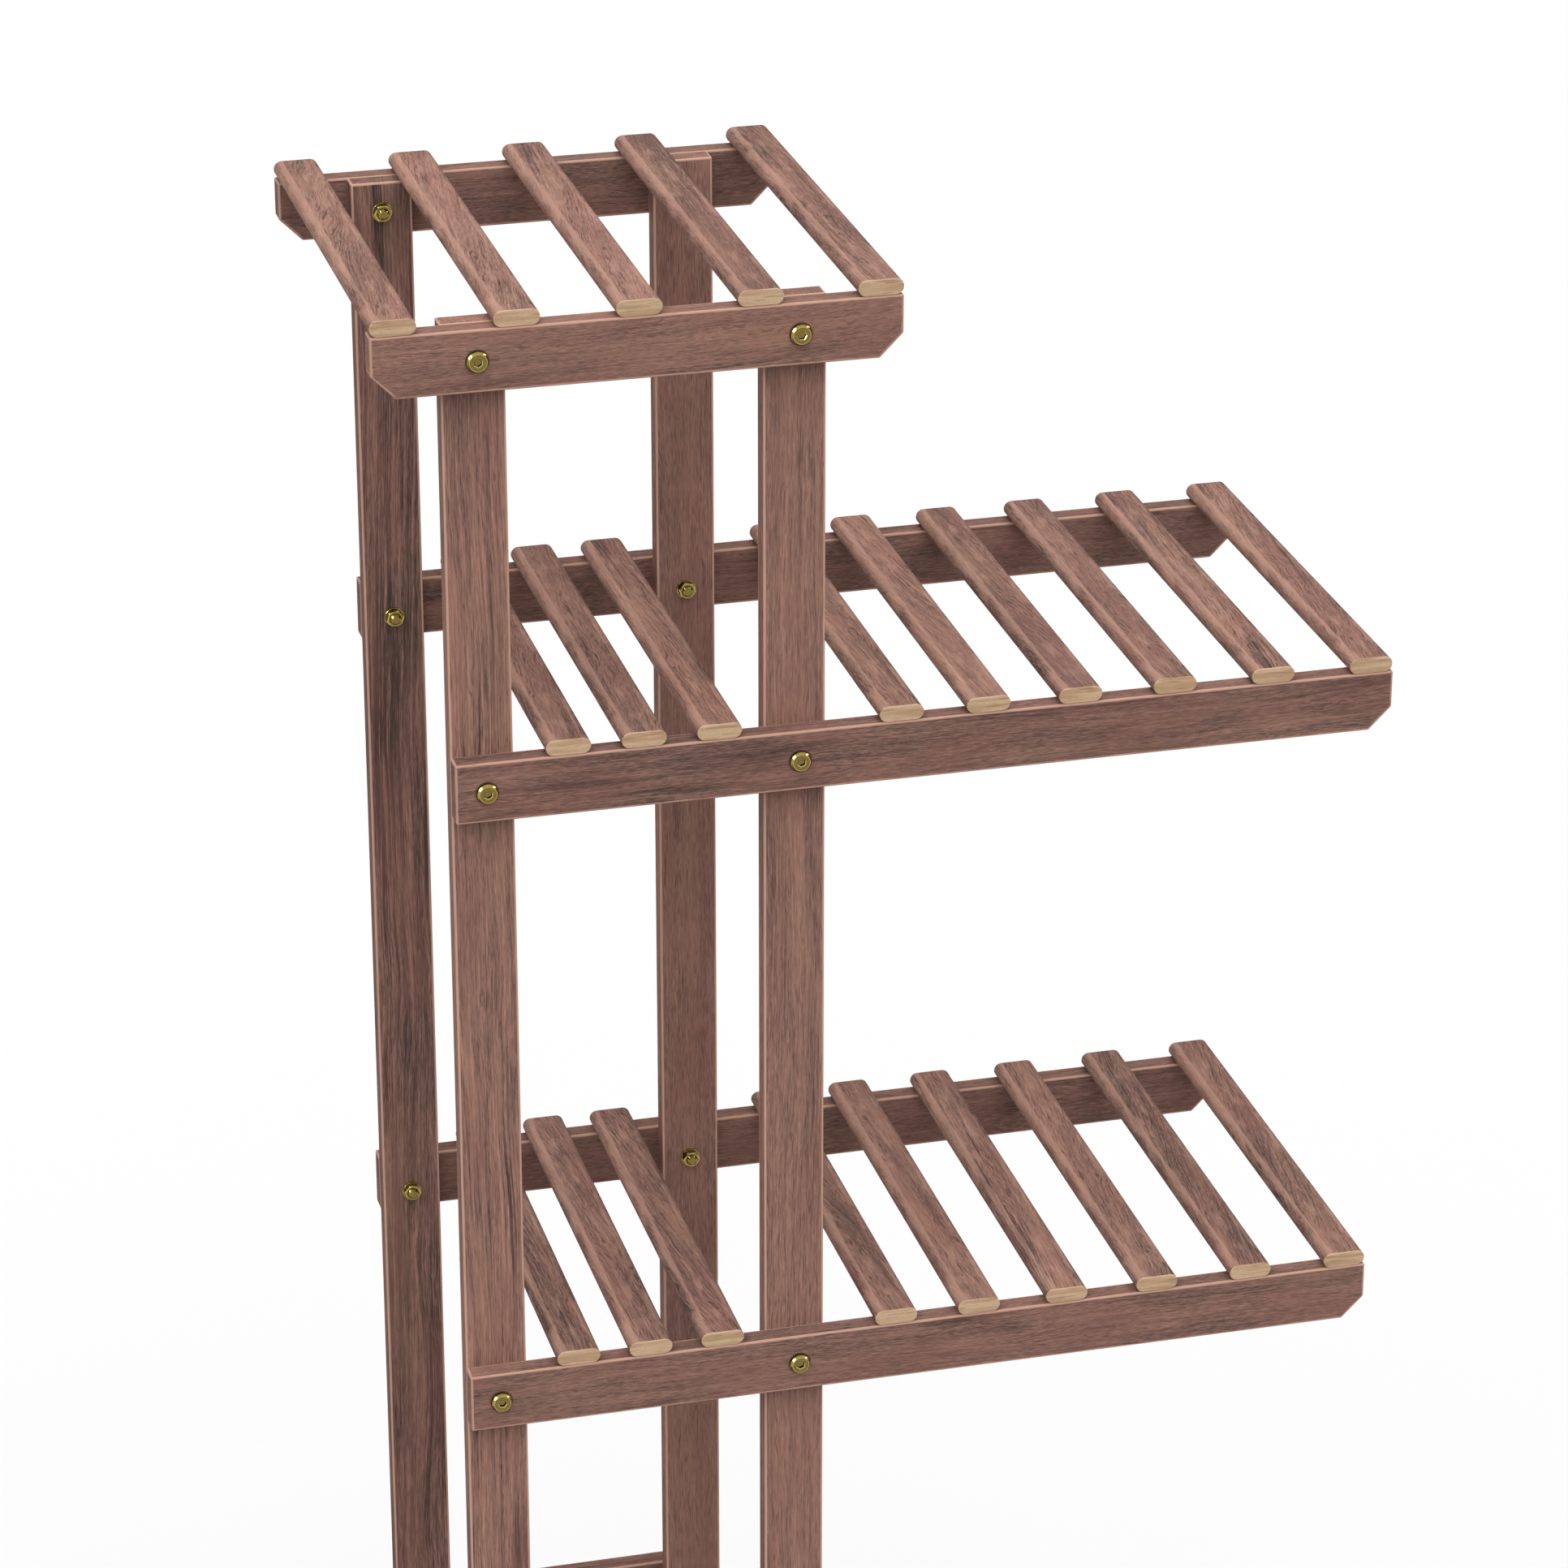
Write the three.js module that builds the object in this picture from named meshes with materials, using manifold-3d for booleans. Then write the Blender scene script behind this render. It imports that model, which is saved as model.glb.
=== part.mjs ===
// Tall tiered plant stand: two pairs of flat wooden posts carry five slatted tiers.
// The top tier is short and centred. The two below it reach to the right, the next two to the left.
// Each tier is a front rail and a rear rail, bolted to the outside of the posts, with slats laid on top.
// Millimetres. +X runs along the tiers, +Y from the front to the rear, +Z up.
// The origin is on the floor, midway between the four posts.
import * as THREE from 'three';
import { mergeVertices } from 'three/addons/utils/BufferGeometryUtils.js';
import Module from 'manifold-3d';

const wasm = await Module();
wasm.setup();

// Posts
const POST_W = 29.9; // along X
const POST_T = 11; // along Y
const POST_PITCH = 150.7; // between the centre lines of the left and right posts

// Rails
const DEPTH = 250; // from the front rail's outer face to the rear rail's outer face
const RAIL_H = 29.9;
const RAIL_T = 11;
const TOP_RAIL_L = 248.5;
const ARM_REACH = 281.3; // from the post's outer face to the free end of a long rail
const RAIL_CHAMFER = 11.3; // 45 degree cut on the lower corner of a free end
const EDGE_R = 0.8; // eased edges of posts and rails

// Slats, full-round along both edges
const SLAT_W = 21.6;
const SLAT_T = 7.9;

// Gaps beside the slats, in proportion to each other: before the first slat, between, after the last
const TOP_GAPS = [0, 1, 1, 1, 1, 0]; // from one rail end to the other
const INNER_GAPS = [13.4, 14.7, 14.7, 13.2]; // from one post to the other
const ARM_GAPS = [24, 21.2, 24.1, 25.7, 27.9, 28.3, 0.5]; // from the post to the free end

// Heights
const FOOT_H = 31; // from the floor to the lowest rail
const DROP_1_2 = 212.1; // from one deck to the next below it
const DROP_2_3 = 324.8;
const DROP_3_4 = 269.5;
const DROP_4_5 = 324.8;

// Furniture bolts, one where each rail crosses a post
const BOLT_D = 5;
const HEAD_D = 10;
const HEAD_FACE_D = 8.5; // flat face inside the bevelled rim
const HEAD_H = 2.8;
const HEAD_RIM_H = 0.6; // straight part of the rim, below the bevel
const SOCKET_AF = 3.5; // hexagon socket, across flats
const SOCKET_DEPTH = 1.3;
const WASHER_D = 10;
const WASHER_T = 0.9;
const NUT_AF = 8; // across flats
const NUT_T = 2.7;
const NUT_CORNER_ANGLE = 30; // degrees, the slope that takes off the nut's outer corners
const TIP_OUT = 1.7; // bolt end past the nut
const TIP_CHAMFER = 0.6;
const HOLE_CLEARANCE = 0.3; // all round a bolt in its post

// Smoothness of round forms
const EDGE_STEPS = 2;
const SLAT_STEPS = 5; // in each quarter turn of an edge
const BOLT_SIDES = 16;

const POST_OUTER_X = (POST_PITCH + POST_W) / 2;
const POST_INNER_X = (POST_PITCH - POST_W) / 2;
const RAIL_Y = (DEPTH - RAIL_T) / 2;
const POST_Y = DEPTH / 2 - RAIL_T - POST_T / 2;

// Deck heights from the top down, the way that each tier reaches (0 both, 1 right, -1 left), and
// whether slats lie between its posts too
const dropsBelow = [DROP_1_2, DROP_2_3, DROP_3_4, DROP_4_5];
const POST_H = FOOT_H + RAIL_H + dropsBelow.reduce((sum, drop) => sum + drop, 0);
const reaches = [0, 1, 1, -1, -1];
const slatsBetweenPosts = [true, true, true, false, true];
const deckHeights = reaches.map((_, i) => (
  POST_H - dropsBelow.slice(0, i).reduce((sum, drop) => sum + drop, 0)
));

const wood = (color) => () => new THREE.MeshStandardMaterial({ color, roughness: 0.62, metalness: 0 });
const postWood = wood(0x6f4a40);
const railWood = wood(0x7d564b);
const slatWood = wood(0x8a6153);

// Turns a closed geometry into a solid for cutting and joining
function toSolid(geometry) {
  const bare = geometry.clone();
  bare.deleteAttribute('normal');
  bare.deleteAttribute('uv');
  const merged = mergeVertices(bare, 1e-4);
  return new wasm.Manifold(new wasm.Mesh({
    numProp: 3,
    vertProperties: new Float32Array(merged.attributes.position.array),
    triVerts: new Uint32Array(merged.index.array),
  }));
}

function toGeometry(solid) {
  const mesh = solid.getMesh();
  const geometry = new THREE.BufferGeometry();
  geometry.setAttribute('position', new THREE.BufferAttribute(mesh.vertProperties, 3));
  geometry.setIndex(new THREE.BufferAttribute(mesh.triVerts, 1));
  geometry.computeVertexNormals();
  return geometry;
}

// A flat board with eased edges: its outline lies in X and Z, its thickness along Y, centred on Y = 0
function board(outline, thickness) {
  const shape = new THREE.Shape(outline.map(([x, z]) => new THREE.Vector2(x, z)));
  const geometry = new THREE.ExtrudeGeometry(shape, {
    depth: thickness - 2 * EDGE_R,
    bevelThickness: EDGE_R,
    bevelSize: EDGE_R,
    bevelOffset: -EDGE_R,
    bevelSegments: EDGE_STEPS,
  });
  return geometry.translate(0, 0, EDGE_R - thickness / 2).rotateX(Math.PI / 2);
}

// A turned form about the Y axis, from [radius, distance along Y] pairs that start and end on the axis
function turned(profile, sides = BOLT_SIDES) {
  const points = profile.map(([radius, along]) => new THREE.Vector2(radius, along));
  return new THREE.LatheGeometry(points, sides);
}

// A hexagonal prism along Y, from y = from to y = to
function hexPrism(acrossFlats, from, to) {
  const radius = acrossFlats / Math.sqrt(3);
  return turned([[0, from], [radius, from], [radius, to], [0, to]], 6);
}

// The bolt, washer and nut that clamp a rail to a post, along +Y, with the rail's outer face at y = 0
function boltSolid() {
  const clamped = RAIL_T + POST_T;
  const nutSeat = clamped + WASHER_T;
  const nutEnd = nutSeat + NUT_T;
  const bolt = turned([
    [0, -HEAD_H],
    [HEAD_FACE_D / 2, -HEAD_H],
    [HEAD_D / 2, -HEAD_RIM_H],
    [HEAD_D / 2, 0],
    [BOLT_D / 2, 0],
    [BOLT_D / 2, nutEnd + TIP_OUT - TIP_CHAMFER],
    [BOLT_D / 2 - TIP_CHAMFER, nutEnd + TIP_OUT],
    [0, nutEnd + TIP_OUT],
  ]);
  const washer = turned([
    [0, clamped],
    [WASHER_D / 2, clamped],
    [WASHER_D / 2, nutSeat],
    [0, nutSeat],
  ]);
  const cornerDrop = (NUT_AF / 2) * Math.tan((NUT_CORNER_ANGLE * Math.PI) / 180);
  const nutCone = turned([
    [0, nutSeat],
    [NUT_AF, nutSeat],
    [NUT_AF, nutEnd - cornerDrop],
    [NUT_AF / 2, nutEnd],
    [0, nutEnd],
  ]);
  const nut = toSolid(hexPrism(NUT_AF, nutSeat, nutEnd)).intersect(toSolid(nutCone));
  const socket = hexPrism(SOCKET_AF, -HEAD_H - 1, -HEAD_H + SOCKET_DEPTH);
  return toSolid(bolt).add(toSolid(washer)).add(nut).subtract(toSolid(socket));
}

// A round hole through a post's thickness, with room for the bolt
function boltHole() {
  const radius = BOLT_D / 2 + HOLE_CLEARANCE;
  return toSolid(turned([[0, -POST_T], [radius, -POST_T], [radius, POST_T], [0, POST_T]]));
}

// A post, standing on z = 0, with a bolt hole at the middle of each rail that crosses it
function postGeometry() {
  const halfW = POST_W / 2;
  let solid = toSolid(board([[-halfW, 0], [halfW, 0], [halfW, POST_H], [-halfW, POST_H]], POST_T));
  for (const deckZ of deckHeights) {
    solid = solid.subtract(boltHole().translate([0, 0, deckZ - RAIL_H / 2]));
  }
  return toGeometry(solid);
}

// A rail with its two bolts, its top at z = 0. The boltheads are on its -Y face.
// A free end has its lower corner cut; the other end is square and in line with the post.
function railGeometry(left, right, leftIsFree, rightIsFree) {
  const outline = [[left, 0]];
  if (leftIsFree) {
    outline.push([left, RAIL_CHAMFER - RAIL_H], [left + RAIL_CHAMFER, -RAIL_H]);
  } else {
    outline.push([left, -RAIL_H]);
  }
  if (rightIsFree) {
    outline.push([right - RAIL_CHAMFER, -RAIL_H], [right, RAIL_CHAMFER - RAIL_H]);
  } else {
    outline.push([right, -RAIL_H]);
  }
  outline.push([right, 0]);
  let solid = toSolid(board(outline, RAIL_T));
  for (const side of [-1, 1]) {
    const place = [side * POST_PITCH / 2, -RAIL_T / 2, -RAIL_H / 2];
    solid = solid.add(boltSolid().translate(place));
  }
  return toGeometry(solid);
}

// A slat along Y with its underside at z = 0 and half-round edges
function slatGeometry() {
  const radius = SLAT_T / 2;
  const flat = SLAT_W / 2 - radius;
  const section = new THREE.Shape();
  section.moveTo(-flat, 0);
  section.lineTo(flat, 0);
  section.absarc(flat, radius, radius, -Math.PI / 2, Math.PI / 2);
  section.lineTo(-flat, SLAT_T);
  section.absarc(-flat, radius, radius, Math.PI / 2, 3 * Math.PI / 2);
  const geometry = new THREE.ExtrudeGeometry(section, {
    depth: DEPTH,
    bevelEnabled: false,
    curveSegments: SLAT_STEPS,
  });
  return toGeometry(toSolid(geometry.rotateX(Math.PI / 2).translate(0, DEPTH / 2, 0)));
}

// Centres of the slats between two faces, with the free length shared out among the gaps
function slatCentres(from, to, gaps) {
  const slats = gaps.length - 1;
  const unit = (to - from - slats * SLAT_W) / gaps.reduce((sum, gap) => sum + gap, 0);
  const centres = [];
  let edge = from;
  for (let i = 0; i < slats; i += 1) {
    edge += gaps[i] * unit;
    centres.push(edge + SLAT_W / 2);
    edge += SLAT_W;
  }
  return centres;
}

function addMesh(parent, name, geometry, material, x, y, z) {
  const mesh = new THREE.Mesh(geometry, material);
  mesh.name = name;
  mesh.position.set(x, y, z);
  parent.add(mesh);
  return mesh;
}

const stand = new THREE.Group();
const rows = [['front', -1], ['rear', 1]];

for (const [row, towards] of rows) {
  for (const [hand, side] of [['left', -1], ['right', 1]]) {
    const place = [side * POST_PITCH / 2, towards * POST_Y, 0];
    addMesh(stand, `${row}_${hand}_post`, postGeometry(), postWood(), ...place);
  }
}

reaches.forEach((reach, i) => {
  const tier = `tier_${i + 1}`;
  const deckZ = deckHeights[i];
  const left = reach === 0 ? -TOP_RAIL_L / 2 : -POST_OUTER_X - (reach < 0 ? ARM_REACH : 0);
  const right = reach === 0 ? TOP_RAIL_L / 2 : POST_OUTER_X + (reach > 0 ? ARM_REACH : 0);

  for (const [row, towards] of rows) {
    // The rear rail is the front rail turned about, so that its boltheads face the rear
    const ends = towards < 0 ? [left, right, reach <= 0, reach >= 0] : [-right, -left, reach >= 0, reach <= 0];
    const rail = addMesh(stand, `${tier}_${row}_rail`, railGeometry(...ends), railWood(), 0, towards * RAIL_Y, deckZ);
    if (towards > 0) rail.rotation.z = Math.PI;
  }

  const centres = reach === 0
    ? slatCentres(left, right, TOP_GAPS)
    : [
      ...(slatsBetweenPosts[i] ? slatCentres(-POST_INNER_X, POST_INNER_X, INNER_GAPS) : []),
      ...slatCentres(POST_OUTER_X, POST_OUTER_X + ARM_REACH, ARM_GAPS),
    ];
  centres.forEach((centre, k) => {
    const x = reach < 0 ? -centre : centre;
    addMesh(stand, `${tier}_slat_${k + 1}`, slatGeometry(), slatWood(), x, 0, deckZ);
  });
});

export default stand;
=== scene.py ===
import math

import bmesh
import bpy
from mathutils import Matrix, Vector


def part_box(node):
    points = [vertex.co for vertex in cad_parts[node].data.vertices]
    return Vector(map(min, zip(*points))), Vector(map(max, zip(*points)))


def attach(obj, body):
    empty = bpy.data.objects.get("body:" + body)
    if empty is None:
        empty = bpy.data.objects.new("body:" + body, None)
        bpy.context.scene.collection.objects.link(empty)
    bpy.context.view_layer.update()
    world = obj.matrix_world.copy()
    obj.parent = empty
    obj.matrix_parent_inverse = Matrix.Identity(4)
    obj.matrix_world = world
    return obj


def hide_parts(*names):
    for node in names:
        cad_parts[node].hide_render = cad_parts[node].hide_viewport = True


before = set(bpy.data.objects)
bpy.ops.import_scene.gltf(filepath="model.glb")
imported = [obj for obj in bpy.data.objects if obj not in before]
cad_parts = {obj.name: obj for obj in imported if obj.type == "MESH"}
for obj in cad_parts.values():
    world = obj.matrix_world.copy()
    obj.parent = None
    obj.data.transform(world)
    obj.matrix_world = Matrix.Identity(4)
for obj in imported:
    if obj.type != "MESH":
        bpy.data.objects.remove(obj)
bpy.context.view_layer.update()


# ---------------------------------------------------------------------------------------------------
# Camera. It stands in front of the stand, a little to the left and well above the middle, and looks
# down on the upper tiers through a long lens, so that the lower ones fall outside the picture.
PHOTO_SIDE = 1932  # pixels
FOCAL_LENGTH = 6780  # pixels
SENSOR = 36  # millimetres
CAMERA_PLACE = (-0.5338, -2.4297, 1.9935)
LOOK_DOWN = math.radians(23.58)
LOOK_RIGHT = math.radians(14.62)

camera_lens = bpy.data.cameras.new("photo_camera")
camera_lens.sensor_width = SENSOR
camera_lens.lens = FOCAL_LENGTH * SENSOR / PHOTO_SIDE
camera = bpy.data.objects.new("photo_camera", camera_lens)
camera.location = CAMERA_PLACE
camera.rotation_euler = (math.pi / 2 - LOOK_DOWN, 0, -LOOK_RIGHT)
bpy.context.scene.collection.objects.link(camera)
bpy.context.scene.camera = camera


# ---------------------------------------------------------------------------------------------------
# Posts. Four flat boards with square-cut ends and eased edges, stained red-brown. The stain is thin
# on the edges, which show pale, and sinks into the grain, which runs up each post.
EASE = 0.0008  # radius of the eased edges
EASE_STEPS = 4
WORN_WIDTH = 0.0007  # how far the pale edge reaches onto a face
GRAIN_UP = (2, 0, 1)  # the axes along the grain, across the board and through it
KNOT_GRID = (11, 42, 42)  # knots to the metre, along, across and through the board
KNOT_RARITY = 0.74  # the share of them that is left out
ROW_PITCH = 0.0015  # between two rows of pores
ROW_SLOPE = (0, 1, 0.8)
ROW_DRIFT = 0.009
LOT_STEP = (7.31, 3.17, 1.73)  # how far apart two lots of timber lie in the noise
LOT_TURN = 12.9
FULL_SWAY = 0.04
CLOUDS = (9, 60, 60)  # marks to the metre, along, across and through the board
BANDS = (6, 210, 210)
LINES = (15, 950, 950)
FIBRES = (130, 2600, 2600)
CLOUD_SHARE, BAND_SHARE, LINE_SHARE, FIBRE_SHARE = 0.4, 0.4, 1.15, 1.3


def colour(red, green, blue):
    """A colour given as 0 to 255, turned into linear light."""
    channels = (red / 255, green / 255, blue / 255)
    return [((c + 0.055) / 1.055) ** 2.4 if c > 0.04045 else c / 12.92 for c in channels] + [1.0]


def add(tree, kind, wires=None, **settings):
    """A node with its settings, and its sockets given a value or wired to another node's socket."""
    node = tree.nodes.new(kind)
    for key, value in settings.items():
        setattr(node, key, value)
    for key, value in (wires or {}).items():
        if isinstance(value, bpy.types.NodeSocket):
            tree.links.new(value, node.inputs[key])
        else:
            node.inputs[key].default_value = value
    return node


def maths(tree, operation, a, b=0.0, c=0.0):
    return add(tree, "ShaderNodeMath", {0: a, 1: b, 2: c}, operation=operation).outputs[0]


def vector_maths(tree, operation, a, b, c=(0.0, 0.0, 0.0)):
    wires = {0: a, 1: b, 2: c}
    return add(tree, "ShaderNodeVectorMath", wires, operation=operation).outputs[0]


def part_of(tree, vector, axis):
    return add(tree, "ShaderNodeSeparateXYZ", {0: vector}).outputs[axis]


def noted(tree, label):
    """A number that the mesh carries at each of its points."""
    return add(tree, "ShaderNodeAttribute", attribute_name=label).outputs["Fac"]


def blend(tree, factor, a, b):
    wires = {0: factor, 6: a, 7: b}  # the sockets of a colour mix
    return add(tree, "ShaderNodeMix", wires, data_type="RGBA").outputs[2]


def colour_scale(tree, value, shades):
    """Colours set out along a scale from 0 to 1."""
    scale = add(tree, "ShaderNodeValToRGB", {"Fac": value})
    stops = scale.color_ramp.elements
    stops[0].position, stops[0].color = shades[0]
    stops[1].position, stops[1].color = shades[-1]
    for position, shade in shades[1:-1]:
        stops.new(position).color = shade
    return scale.outputs[0]


def ramp(tree, value, low, high, to_low=0.0, to_high=1.0):
    wires = {"Value": value, "From Min": low, "From Max": high, "To Min": to_low, "To Max": to_high}
    return add(tree, "ShaderNodeMapRange", wires, interpolation_type="SMOOTHSTEP").outputs[0]


def noise(tree, vector, per_metre, detail=2.0, roughness=0.5):
    """Noise with its own count of features to the metre along, across and through the board."""
    scaled = vector_maths(tree, "MULTIPLY", vector, per_metre)
    wires = {"Vector": scaled, "Scale": 1.0, "Detail": detail, "Roughness": roughness}
    return add(tree, "ShaderNodeTexNoise", wires).outputs[0]


def swing(tree, *settings):
    """The same noise about zero."""
    return maths(tree, "SUBTRACT", noise(tree, *settings), 0.5)


def relief(tree, shader, height, strength, distance):
    """A fine relief in the surface."""
    wires = {"Strength": strength, "Distance": distance, "Height": height}
    tree.links.new(add(tree, "ShaderNodeBump", wires).outputs[0], shader.inputs["Normal"])


def new_material(name):
    material = bpy.data.materials.new(name)
    material.use_nodes = True
    return material, material.node_tree, material.node_tree.nodes["Principled BSDF"]


def new_group(name, inputs, outputs):
    tree = bpy.data.node_groups.new(name, "ShaderNodeTree")
    for label, kind in inputs:
        tree.interface.new_socket(label, in_out="INPUT", socket_type=kind)
    for label, kind in outputs:
        tree.interface.new_socket(label, in_out="OUTPUT", socket_type=kind)
    return tree, tree.nodes.new("NodeGroupInput").outputs, tree.nodes.new("NodeGroupOutput").inputs


def grain_group():
    """How dark the stain has gone over a board: lines, streaks and fibres, and the open pores."""
    tree, given, result = new_group(
        "stained_grain",
        [
            ("Board", "NodeSocketVector"), ("Lot", "NodeSocketFloat"), ("Figure", "NodeSocketFloat"),
            ("Sway", "NodeSocketFloat"), ("Run", "NodeSocketFloat"), ("Knots", "NodeSocketFloat"),
            ("Slant", "NodeSocketFloat"), ("Open", "NodeSocketFloat"),
        ],
        [
            ("Tone", "NodeSocketFloat"), ("Pores", "NodeSocketFloat"),
            ("Redness", "NodeSocketFloat"), ("Thin", "NodeSocketFloat"),
        ],
    )
    shift = add(tree, "ShaderNodeCombineXYZ", {
        axis: maths(tree, "MULTIPLY", given["Lot"], step) for axis, step in zip("XYZ", LOT_STEP)
    }).outputs[0]
    run = add(tree, "ShaderNodeCombineXYZ", {"X": given["Run"], "Y": 1.0, "Z": 1.0}).outputs[0]
    place = vector_maths(tree, "MULTIPLY_ADD", given["Board"], run, shift)

    # the lines of the grain run out at a slant, and wander from side to side by a few millimetres
    slant = maths(tree, "SINE", maths(tree, "MULTIPLY", given["Lot"], LOT_TURN))
    slant = maths(tree, "MULTIPLY", slant, given["Slant"])
    sway = maths(tree, "MULTIPLY", given["Sway"], FULL_SWAY)
    wander = maths(tree, "MULTIPLY", swing(tree, place, (6, 22, 22), 2.0, 0.4), sway)
    wander = maths(tree, "MULTIPLY_ADD", part_of(tree, given["Board"], "X"), slant, wander)

    # here and there they part round a small knot
    stretched = vector_maths(tree, "MULTIPLY", place, KNOT_GRID)
    wires = {"Vector": stretched, "Scale": 1.0, "Randomness": 0.8}
    knot = add(tree, "ShaderNodeTexVoronoi", wires).outputs
    chance = add(tree, "ShaderNodeSeparateColor", {0: knot["Color"]}).outputs[0]
    chosen = maths(tree, "GREATER_THAN", chance, KNOT_RARITY)
    chosen = maths(tree, "MULTIPLY", chosen, given["Knots"])
    about = maths(tree, "MULTIPLY", chosen, ramp(tree, knot["Distance"], 0.0, 0.5, 1.0, 0.0))
    aside = vector_maths(tree, "SUBTRACT", stretched, knot["Position"])
    aside = maths(tree, "DIVIDE", part_of(tree, aside, "Y"), -KNOT_GRID[1])
    wander = maths(tree, "MULTIPLY_ADD", aside, maths(tree, "MULTIPLY", about, 0.8), wander)
    heart = maths(tree, "MULTIPLY", chosen, ramp(tree, knot["Distance"], 0.02, 0.13, 1.0, 0.0))

    sideways = add(tree, "ShaderNodeCombineXYZ", {"Y": wander}).outputs[0]
    bent = vector_maths(tree, "ADD", place, sideways)

    clouds = swing(tree, place, CLOUDS, 3.0)
    bands = swing(tree, bent, BANDS)
    lines = swing(tree, bent, LINES, 2.0, 0.6)
    fibres = swing(tree, bent, FIBRES, 2.0, 0.7)
    figured = maths(tree, "MULTIPLY_ADD", lines, LINE_SHARE, maths(tree, "MULTIPLY", bands, BAND_SHARE))
    tone = maths(tree, "MULTIPLY_ADD", figured, given["Figure"], 0.5)
    tone = maths(tree, "MULTIPLY_ADD", clouds, CLOUD_SHARE, tone)
    tone = maths(tree, "MULTIPLY_ADD", fibres, FIBRE_SHARE, tone)

    # the stain gathers in patches, where it darkens the lines of the grain
    gathered = ramp(tree, noise(tree, bent, (6, 95, 95), 1.0), 0.54, 0.74)
    gathered = maths(tree, "MULTIPLY", gathered, maths(tree, "MULTIPLY_ADD", lines, -1.0, 0.2))
    gathered = maths(tree, "MULTIPLY", gathered, given["Figure"])
    tone = maths(tree, "SUBTRACT", tone, gathered)
    tone = maths(tree, "MULTIPLY_ADD", about, -0.12, tone)
    tree.links.new(maths(tree, "MULTIPLY_ADD", heart, -0.25, tone), result["Tone"])

    # the open pores lie in rows, and each is a short dark dash
    wires = {0: bent, 1: ROW_SLOPE}
    level = add(tree, "ShaderNodeVectorMath", wires, operation="DOT_PRODUCT").outputs["Value"]
    level = maths(tree, "MULTIPLY_ADD", noise(tree, bent, (30, 160, 160)), ROW_DRIFT, level)
    level = maths(tree, "MULTIPLY", level, 2 * math.pi / ROW_PITCH)
    rows = ramp(tree, maths(tree, "SINE", level), 0.1, 0.9)
    broken = maths(tree, "ADD", noise(tree, bent, (60, 900, 900)), given["Open"])
    dashes = maths(tree, "MULTIPLY", rows, ramp(tree, broken, 0.48, 0.56))
    where = ramp(tree, noise(tree, bent, (12, 120, 120), 1.0), 0.36, 0.58, 0.25, 1.0)
    tree.links.new(maths(tree, "MULTIPLY", dashes, where), result["Pores"])
    tree.links.new(ramp(tree, noise(tree, place, (11, 45, 45), 1.0), 0.38, 0.66), result["Redness"])
    tree.links.new(ramp(tree, noise(tree, bent, (7, 70, 70)), 0.5, 0.68), result["Thin"])
    return tree


def worn_edge_group():
    """Where the stain is rubbed thin: along the eased edges, and more in some places than others."""
    tree, given, result = new_group(
        "worn_edge",
        [("Board", "NodeSocketVector"), ("Edge", "NodeSocketFloat"), ("Ragged", "NodeSocketFloat")],
        [("Mask", "NodeSocketFloat")],
    )
    patches = swing(tree, given["Board"], (35, 160, 160), 4.0, 0.65)
    rubbed = maths(tree, "MULTIPLY_ADD", patches, given["Ragged"], given["Edge"])
    tree.links.new(ramp(tree, rubbed, 0.2, 0.95), result["Mask"])
    return tree


STAINED_GRAIN = grain_group()
WORN_EDGE = worn_edge_group()

STAIN = (  # from where it has gone darkest to where it is palest
    (0.0, colour(70, 57, 53)), (0.25, colour(101, 80, 73)), (0.5, colour(136, 103, 92)),
    (0.75, colour(158, 120, 105)), (1.0, colour(178, 138, 120)),
)
STAIN_RED = colour(140, 98, 89)
STAIN_TAN = colour(166, 129, 108)
# this dark colours the open pores, and also the painted shade, such as the ring round each bolthead
PORE_AND_PAINTED_SHADE = colour(68, 53, 49)
STAIN_THIN = colour(196, 156, 137)
REDNESS = 0.3
ROUGH_DARK, ROUGH_PALE = 0.68, 0.54
PORE_DEPTH = 0.7  # against the height of the grain
WOOD_RELIEF = (0.4, 0.00012)  # strength, and depth in metres
WOOD_GLOSS = 0.02


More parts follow.
